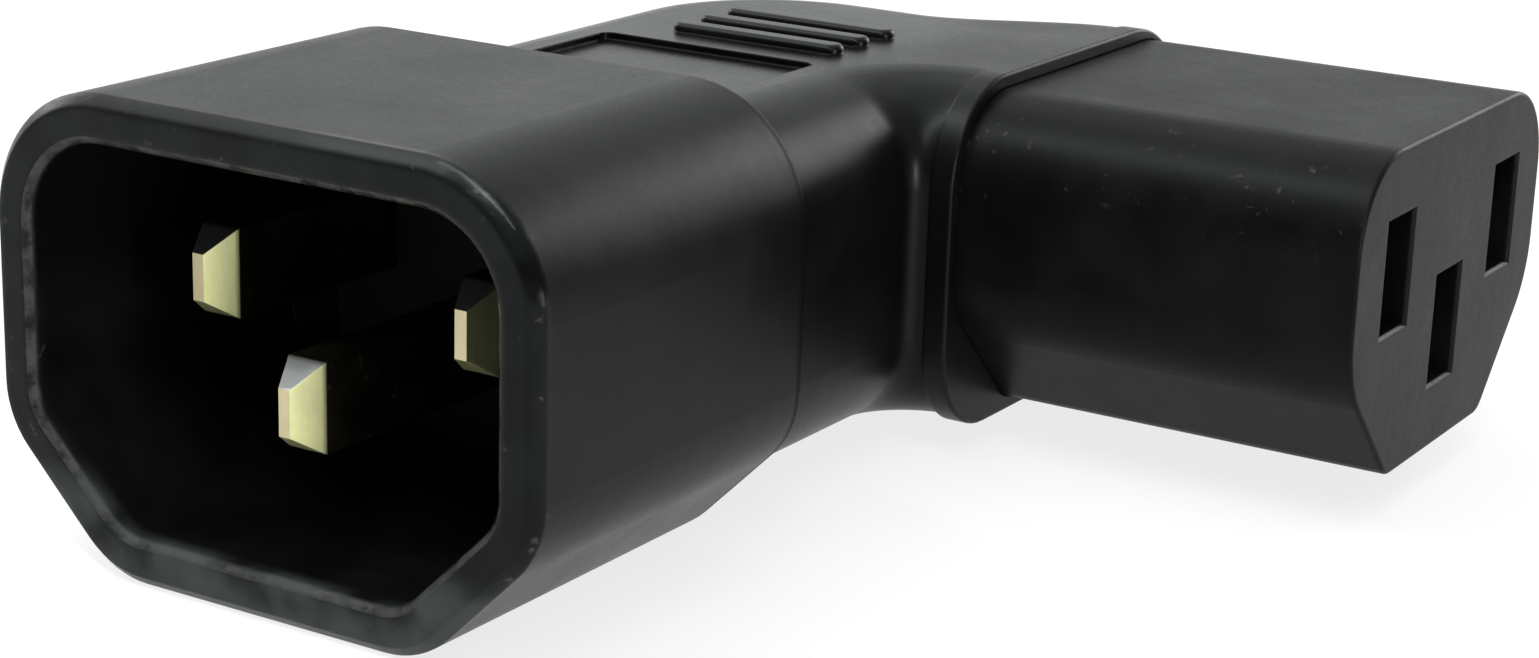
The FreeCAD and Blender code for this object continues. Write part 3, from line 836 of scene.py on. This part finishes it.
@dataclass
class PinInlet:
    """The inlet's block and its three flat pins."""

    carrier: str = "pin_carrier"
    live_tip: float = -25.0 * MM
    earth_tip: float = -27.7 * MM
    tip_depth: Fade = (1.25 * MM, 1.6 * MM)
    weld_reach: float = 0.002 * MM
    edge_round: float = 0.12 * MM
    edge_segments: int = 2
    sharp_angle: float = math.radians(20.0)

    @property
    def tips(self) -> dict[Wire, float]:
        """Return where each pin's tip is, along the recess."""
        live = self.live_tip
        return {Wire.LINE: live, Wire.NEUTRAL: live, Wire.EARTH: self.earth_tip}

    def dress(self) -> None:
        """Give the block its dull black and the softened pins their pale drawn brass, with a
        painted sheen on each tip's upper slope and painted shade along each shank.
        """
        dress(self.carrier, DullMoulding("carrier_black").material())
        for wire, tip in self.tips.items():
            brass = BareMetal(
                f"{wire.value}_pin_brass",
                bright=(0.97, 1.0, 0.55),
                tarnish=(0.80, 0.80, 0.42),
                roughness=0.40,
                line_scale=(1.0, 1.0, 0.06),
                end=PinEnd(Zone((Span(Axis.ALONG, tip, self.tip_depth),))),
            )
            self._soften(dress(f"{wire.value}_pin", brass.material()))

    def _soften(self, pin: bpy.types.Object) -> None:
        """Join a pin's loose faces and round its edges a little.

        Args:
            pin: The pin.
        """
        weld = pin.modifiers.new("weld", "WELD")
        weld.merge_threshold = self.weld_reach
        bevel = pin.modifiers.new("soft_edges", "BEVEL")
        bevel.width = self.edge_round
        bevel.segments = self.edge_segments
        bevel.limit_method = "ANGLE"
        bevel.angle_limit = self.sharp_angle
        bevel.harden_normals = True


@dataclass
class SocketNose:
    """The slotted nose with its contacts and the plate behind them."""

    node: str = "socket_nose"
    plate: str = "contact_retainer"
    near_side: float = 5.0 * MM
    top: float = 17.9 * MM
    near_wear: Fade = (1.5 * MM, 4.0 * MM)
    top_wear: Fade = (-2.5 * MM, -5.0 * MM)

    def dress(self) -> None:
        """Give the nose its satin black, the plate its dull black and the contacts their brass."""
        near = Span(Axis.ALONG, self.near_side, self.near_wear)
        high = Span(Axis.UP, self.top, self.top_wear)
        finish = SatinMoulding(
            "nose_black",
            gloss=0.07,
            roughness=0.38,
            cloud=Patches(5.0 * MM, detail=3.0, rough=0.55),
            wave=Patches(2.0 * MM),
            rubs=(Zone((near, high)),),
        )
        dress(self.node, finish.material())
        dress(self.plate, DullMoulding("plate_black").material())
        brass = BareMetal(
            "stamped_brass",
            bright=(0.76, 0.62, 0.34),
            tarnish=(0.42, 0.30, 0.14),
            roughness=0.34,
            line_scale=(0.08, 1.0, 1.0),
        ).material()
        for wire in Wire:
            dress(f"{wire.value}_contact", brass)


@dataclass(frozen=True)
class Route:
    """One conductor's way in plan, as corners with a bend each, at one level."""

    corners: tuple[Point, ...]
    level: float

    def carrier(self, name: str) -> bpy.types.Object:
        """Return the way as a bare polyline that carries each corner's bend.

        Args:
            name: The carrier's name.

        Returns:
            The polyline's object.
        """
        spots = [(side, along, self.level) for side, along, _ in self.corners]
        mesh = bpy.data.meshes.new(name)
        mesh.from_pydata(spots, [(index, index + 1) for index in range(len(spots) - 1)], [])
        bends = mesh.attributes.new("bend", "FLOAT", "POINT")
        for item, (_, _, bend) in zip(bends.data, self.corners):
            item.value = bend
        holder = bpy.data.objects.new(name, mesh)
        bpy.context.scene.collection.objects.link(holder)
        return holder


@dataclass(frozen=True)
class StrandTree:
    """Twisted strands along a way: one in the middle, six around it and twelve around those."""

    strand_count: int = 19
    strand_diameter: float = 0.24 * MM
    lay_length: float = 14.0 * MM
    step: float = 0.45 * MM
    ring_count: int = 6
    radius_share: float = 0.49
    profile_points: int = 8
    bend_points: int = 24

    def build(self) -> bpy.types.NodeTree:
        """Build the tree, with its sizes as named inputs.

        Returns:
            The tree.
        """
        tree = bpy.data.node_groups.new("twisted_strands", "GeometryNodeTree")
        board = Board(tree)
        kinds = {
            "Way": "NodeSocketGeometry",
            "Strand Count": "NodeSocketInt",
            "Strand Diameter": "NodeSocketFloat",
            "Lay Length": "NodeSocketFloat",
            "Step": "NodeSocketFloat",
            "Material": "NodeSocketMaterial",
        }
        for name, kind in kinds.items():
            tree.interface.new_socket(name, in_out="INPUT", socket_type=kind)
        tree.interface.new_socket("Strands", in_out="OUTPUT", socket_type="NodeSocketGeometry")
        source = board.node("NodeGroupInput").socket.node
        given = {name: Reading(board, source.outputs[name]) for name in kinds}
        copies = board.node(
            "GeometryNodeDuplicateElements",
            {"domain": "SPLINE"},
            {"Geometry": self._smooth_way(board, given), "Amount": given["Strand Count"]},
            "Geometry",
        )
        index = Reading(board, copies.socket.node.outputs["Duplicate Index"])
        placed = board.node(
            "GeometryNodeSetPosition",
            sockets={"Geometry": copies, "Offset": self._offset(board, given, index)},
        )
        radius = given["Strand Diameter"] * self.radius_share
        profile = board.node(
            "GeometryNodeCurvePrimitiveCircle",
            sockets={"Resolution": self.profile_points, "Radius": radius},
            output="Curve",
        )
        tubes = board.node(
            "GeometryNodeCurveToMesh",
            sockets={"Curve": placed, "Profile Curve": profile, "Fill Caps": True},
        )
        smooth = board.node("GeometryNodeSetShadeSmooth", sockets={"Geometry": tubes})
        real = board.node("GeometryNodeRealizeInstances", sockets={"Geometry": smooth})
        dressed = board.node(
            "GeometryNodeSetMaterial",
            sockets={"Geometry": real, "Material": given["Material"]},
        )
        board.node("NodeGroupOutput", sockets={"Strands": dressed})
        return tree

    def _smooth_way(self, board: Board, given: Mapping[str, Reading]) -> Reading:
        """Bend the way's corners.

        Args:
            board: The tree's nodes.
            given: The tree's inputs, by name.

        Returns:
            The way as an evenly stepped curve.
        """
        curve = board.node("GeometryNodeMeshToCurve", sockets={"Mesh": given["Way"]})
        bend = board.node(
            "GeometryNodeInputNamedAttribute",
            {"data_type": "FLOAT"},
            {"Name": "bend"},
            "Attribute",
        )
        bent = board.node(
            "GeometryNodeFilletCurve",
            {"mode": "POLY"},
            {"Curve": curve, "Count": self.bend_points, "Radius": bend, "Limit Radius": True},
        )
        return board.node(
            "GeometryNodeResampleCurve",
            {"mode": "LENGTH"},
            {"Curve": bent, "Length": given["Step"]},
        )

    def _offset(self, board: Board, given: Mapping[str, Reading], index: Reading) -> Reading:
        """Twist the strands around the way.

        Args:
            board: The tree's nodes.
            given: The tree's inputs, by name.
            index: The strand's number.

        Returns:
            How far each strand's points lie from the middle of the way.
        """
        first = index > 0
        second = index > self.ring_count
        ring = first + second
        slot = index - first - second * self.ring_count
        run = board.node("GeometryNodeSplineParameter", output="Length")
        turn = (slot / (ring * self.ring_count) + run / given["Lay Length"]) * math.tau
        reach = ring * given["Strand Diameter"]
        normal = board.node("GeometryNodeInputNormal", output="Normal")
        tangent = board.node("GeometryNodeInputTangent")
        across = board.vector("CROSS_PRODUCT", tangent, normal)
        cosine = board.node("ShaderNodeMath", {"operation": "COSINE"}, {0: turn})
        sine = board.node("ShaderNodeMath", {"operation": "SINE"}, {0: turn})
        return board.vector(
            "ADD",
            board.scaled(normal, cosine * reach),
            board.scaled(across, sine * reach),
        )

    def strand(
        self,
        name: str,
        route: Route,
        material: bpy.types.Material,
        tree: bpy.types.NodeTree,
    ) -> bpy.types.Object:
        """Return one conductor as a plain mesh.

        Args:
            name: The piece's name.
            route: The way that it follows.
            material: The strands' finish.
            tree: The tree that draws them.

        Returns:
            The piece, at the origin.
        """
        carrier = route.carrier(f"{name}_way")
        modifier = carrier.modifiers.new("strands", "NODES")
        modifier.node_group = tree
        values = {
            "Strand Count": self.strand_count,
            "Strand Diameter": self.strand_diameter,
            "Lay Length": self.lay_length,
            "Step": self.step,
            "Material": material,
        }
        for item in tree.interface.items_tree:
            if item.in_out == "INPUT" and item.name in values:
                modifier[item.identifier] = values[item.name]
        shaped = carrier.evaluated_get(bpy.context.evaluated_depsgraph_get())
        mesh = bpy.data.meshes.new_from_object(shaped)
        bpy.data.objects.remove(carrier)
        piece = bpy.data.objects.new(name, mesh)
        bpy.context.scene.collection.objects.link(piece)
        log.info("laid %s with %d faces", name, len(mesh.polygons))
        return piece


@dataclass
class WireLoom:
    """The three insulated conductors inside the elbow, each bent at corners in plan."""

    live_level: float = 12.5 * MM
    earth_level: float = 8.5 * MM
    stripe_half: float = 0.55 * MM
    core_start: float = -6.9 * MM
    core_stop: float = 6.65 * MM
    # Corners in plan, each as its side, its place along and the radius of its bend
    line_bend: Point = (-2.55 * MM, 10.0 * MM, 3.5 * MM)
    neutral_bend: Point = (-16.55 * MM, 12.3 * MM, 8.0 * MM)
    neutral_turn: Point = (-0.35 * MM, 24.0 * MM, 4.0 * MM)
    earth_bend: Point = (-9.55 * MM, 17.0 * MM, 8.0 * MM)

    def build(self) -> None:
        """Lay the stranded copper of each conductor in place of its plain core."""
        copper = BareMetal(
            "bright_copper",
            bright=(0.83, 0.46, 0.30),
            tarnish=(0.48, 0.21, 0.12),
            roughness=0.26,
            line_scale=(1.0, 1.0, 0.2),
        ).material()
        strands = StrandTree()
        tree = strands.build()
        for wire, route in self._routes().items():
            piece = strands.strand(f"{wire.value}_strands", route, copper, tree)
            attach(piece, "root")
            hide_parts(f"{wire.value}_core")

    def _routes(self) -> dict[Wire, Route]:
        """Plan the conductors' ways from the pins' barrels to the contacts' barrels.

        Returns:
            Each conductor's way.
        """
        line = self._way(self.line_bend)
        neutral = self._way(self.neutral_bend, self.neutral_turn)
        earth = self._way(self.earth_bend)
        return {
            Wire.LINE: Route(line, self.live_level),
            Wire.NEUTRAL: Route(neutral, self.live_level),
            Wire.EARTH: Route(earth, self.earth_level),
        }

    def _way(self, *bends: Point) -> tuple[Point, ...]:
        """Add a way's two ends to its bends.

        Args:
            bends: The corners in plan, each with the radius of its bend.

        Returns:
            All the corners, from the pin to the contact.
        """
        start = (bends[0][0], self.core_start, 0.0)
        stop = (self.core_stop, bends[-1][1], 0.0)
        return (start, *bends, stop)

    def dress(self) -> None:
        """Give the sleeves their colours."""
        sleeves = {
            Wire.LINE: Insulation(
                "line_brown",
                colour=(0.17, 0.068, 0.028),
                worn=(0.22, 0.095, 0.045),
            ),
            Wire.NEUTRAL: Insulation(
                "neutral_blue",
                colour=(0.028, 0.135, 0.42),
                worn=(0.05, 0.18, 0.47),
            ),
            Wire.EARTH: Insulation(
                "earth_green",
                colour=(0.06, 0.30, 0.06),
                worn=(0.09, 0.35, 0.08),
                stripe=(0.80, 0.66, 0.06),
                stripe_level=self.earth_level,
                stripe_half=self.stripe_half,
            ),
        }
        for wire, sleeve in sleeves.items():
            dress(f"{wire.value}_sleeve", sleeve.material())


@dataclass(frozen=True)
class Softbox:
    """One rectangular soft lamp, aimed at the middle of the part."""

    name: str
    place: Point
    width: float
    height: float
    power: float
    target: Point = (0.0, 0.0, 10.0 * MM)
    colour: Colour = WHITE
    along: Point = (1.0, 0.0, 0.0)

    def build(self) -> None:
        """Put the lamp in its place, its width turned to the way it runs along."""
        lamp = bpy.data.lights.new(self.name, "AREA")
        lamp.shape = "RECTANGLE"
        lamp.size = self.width
        lamp.size_y = self.height
        lamp.energy = self.power
        lamp.color = self.colour
        holder = bpy.data.objects.new(self.name, lamp)
        bpy.context.scene.collection.objects.link(holder)
        holder.location = self.place
        back = (Vector(self.place) - Vector(self.target)).normalized()
        up = back.cross(Vector(self.along)).normalized()
        holder.rotation_euler = Matrix((up.cross(back), up, back)).transposed().to_euler()


@dataclass
class Studio:
    """Pale floor, soft light and the camera at the photograph's angle."""

    image_width: float = 1539.0
    focal_pixels: float = 3103.35
    film_width: float = 36.0
    clip_near: float = 0.005
    clip_far: float = 20.0
    camera_place: Point = (70.716 * MM, -120.548 * MM, 48.533 * MM)
    yaw: float = math.radians(31.551)
    pitch: float = math.radians(-16.450)
    roll: float = math.radians(1.794)
    floor_half: float = 3.0
    floor_cells: int = 8
    floor_shade: Colour = (0.90, 0.90, 0.90)
    floor_white: float = 0.80
    dome_dim: float = 0.16
    dome_bright: float = 1.0
    dome_tint: Colour = (0.965, 1.0, 0.985)
    back_way: Point = (-0.50, 0.82, 0.28)
    back_rise: Rise = (0.30, 0.90)
    top_rise: Rise = (0.25, 0.9)
    top_share: float = 0.6

    def build(self) -> None:
        """Set the floor, the light, the camera and the colour view."""
        bpy.context.scene.view_settings.view_transform = "Standard"
        self._lay_floor()
        self._light_dome()
        for lamp in self._lamps():
            lamp.build()
        self._aim_camera()

    @staticmethod
    def _lamps() -> list[Softbox]:
        """List the lamps: overhead, high at the left, a strip in front, two behind, one low.

        Returns:
            The lamps.
        """
        return [
            Softbox("overhead", (-0.15, 0.05, 0.65), width=0.80, height=0.80, power=2.4),
            Softbox("high_left", (-0.38, -0.22, 0.62), width=0.35, height=0.35, power=1.30),
            Softbox(
                "high_front",
                (0.030, -0.294, 0.512),
                width=0.66,
                height=0.010,
                power=2.20,
                along=(0.93, -0.28, -0.23),
            ),
            Softbox("back_left", (-0.60, 0.10, 0.30), width=0.30, height=0.30, power=1.6),
            Softbox("behind", (0.16, 0.60, 0.20), width=0.30, height=0.30, power=1.6),
            Softbox(
                "low_right",
                (0.57, -0.19, 0.04),
                width=0.12,
                height=0.12,
                power=1.80,
                colour=(1.0, 0.98, 0.93),
            ),
        ]

    def _lay_floor(self) -> None:
        """Lay the wide floor under the part."""
        mesh = bpy.data.meshes.new("floor")
        shape = bmesh.new()
        cells = self.floor_cells
        bmesh.ops.create_grid(shape, x_segments=cells, y_segments=cells, size=self.floor_half)
        shape.to_mesh(mesh)
        shape.free()
        floor = bpy.data.objects.new("floor", mesh)
        bpy.context.scene.collection.objects.link(floor)
        board, material = Board.of_material("pale_floor")
        shade, bright = board.solid(self.floor_shade), board.solid(WHITE)
        soft = board.node("ShaderNodeBsdfDiffuse", sockets={"Color": shade})
        white = board.node("ShaderNodeEmission", sockets={"Color": bright, "Strength": 1.0})
        share = self._seen(board) * self.floor_white
        mixed = board.node("ShaderNodeMixShader", sockets={0: share, 1: soft, 2: white})
        board.node("ShaderNodeOutputMaterial", sockets={"Surface": mixed})
        mesh.materials.append(material)

    @staticmethod
    def _seen(board: Board) -> Reading:
        """Find the rays that show the background: straight, mirrored or through something clear.

        Args:
            board: The floor's nodes.

        Returns:
            1 for those rays, and 0 for others.
        """
        straight = board.node("ShaderNodeLightPath", output="Is Camera Ray")
        outputs = straight.socket.node.outputs
        mirrored = Reading(board, outputs["Is Glossy Ray"])
        through = Reading(board, outputs["Is Transmission Ray"])
        return straight | mirrored | through

    def _light_dome(self) -> None:
        """Surround the part with soft light: bright behind it and above, dimmer in front."""
        world = bpy.data.worlds.new("studio")
        bpy.context.scene.world = world
        world.use_nodes = True
        board = Board(world.node_tree)
        way = board.node("ShaderNodeTexCoord", output="Generated")
        along = board.vector("DOT_PRODUCT", way, Vector(self.back_way).normalized(), "Value")
        _, _, up = board.axes(way)
        above = board.ease(up, *self.top_rise) * self.top_share
        glow = board.ease(along, *self.back_rise) | above
        strength = self.dome_dim + (self.dome_bright - self.dome_dim) * glow
        tint = board.solid(self.dome_tint)
        sky = board.node("ShaderNodeBackground", sockets={"Color": tint, "Strength": strength})
        board.node("ShaderNodeOutputWorld", sockets={"Surface": sky})

    def _aim_camera(self) -> None:
        """Put the camera where the photograph was taken from."""
        lens = bpy.data.cameras.new("photo_camera")
        lens.sensor_fit = "HORIZONTAL"
        lens.sensor_width = self.film_width
        lens.lens = self.focal_pixels / self.image_width * self.film_width
        lens.clip_start = self.clip_near
        lens.clip_end = self.clip_far
        camera = bpy.data.objects.new("photo_camera", lens)
        bpy.context.scene.collection.objects.link(camera)
        turn = Matrix.Rotation(self.yaw, 4, "Z")
        tilt = Matrix.Rotation(math.pi / 2 + self.pitch, 4, "X")
        lean = Matrix.Rotation(self.roll, 4, "Z")
        camera.matrix_world = Matrix.Translation(self.camera_place) @ turn @ tilt @ lean
        bpy.context.scene.camera = camera


def main() -> None:
    """Set the stage, and build and dress the adapter."""
    logging.basicConfig(level=logging.INFO, format="%(name)s: %(message)s")
    Studio().build()
    loom = WireLoom()
    loom.build()
    for assembly in (MouldedElbow(), PinInlet(), SocketNose(), loom):
        assembly.dress()
        log.info("finished %s", type(assembly).__name__)


if __name__ == "__main__":
    main()
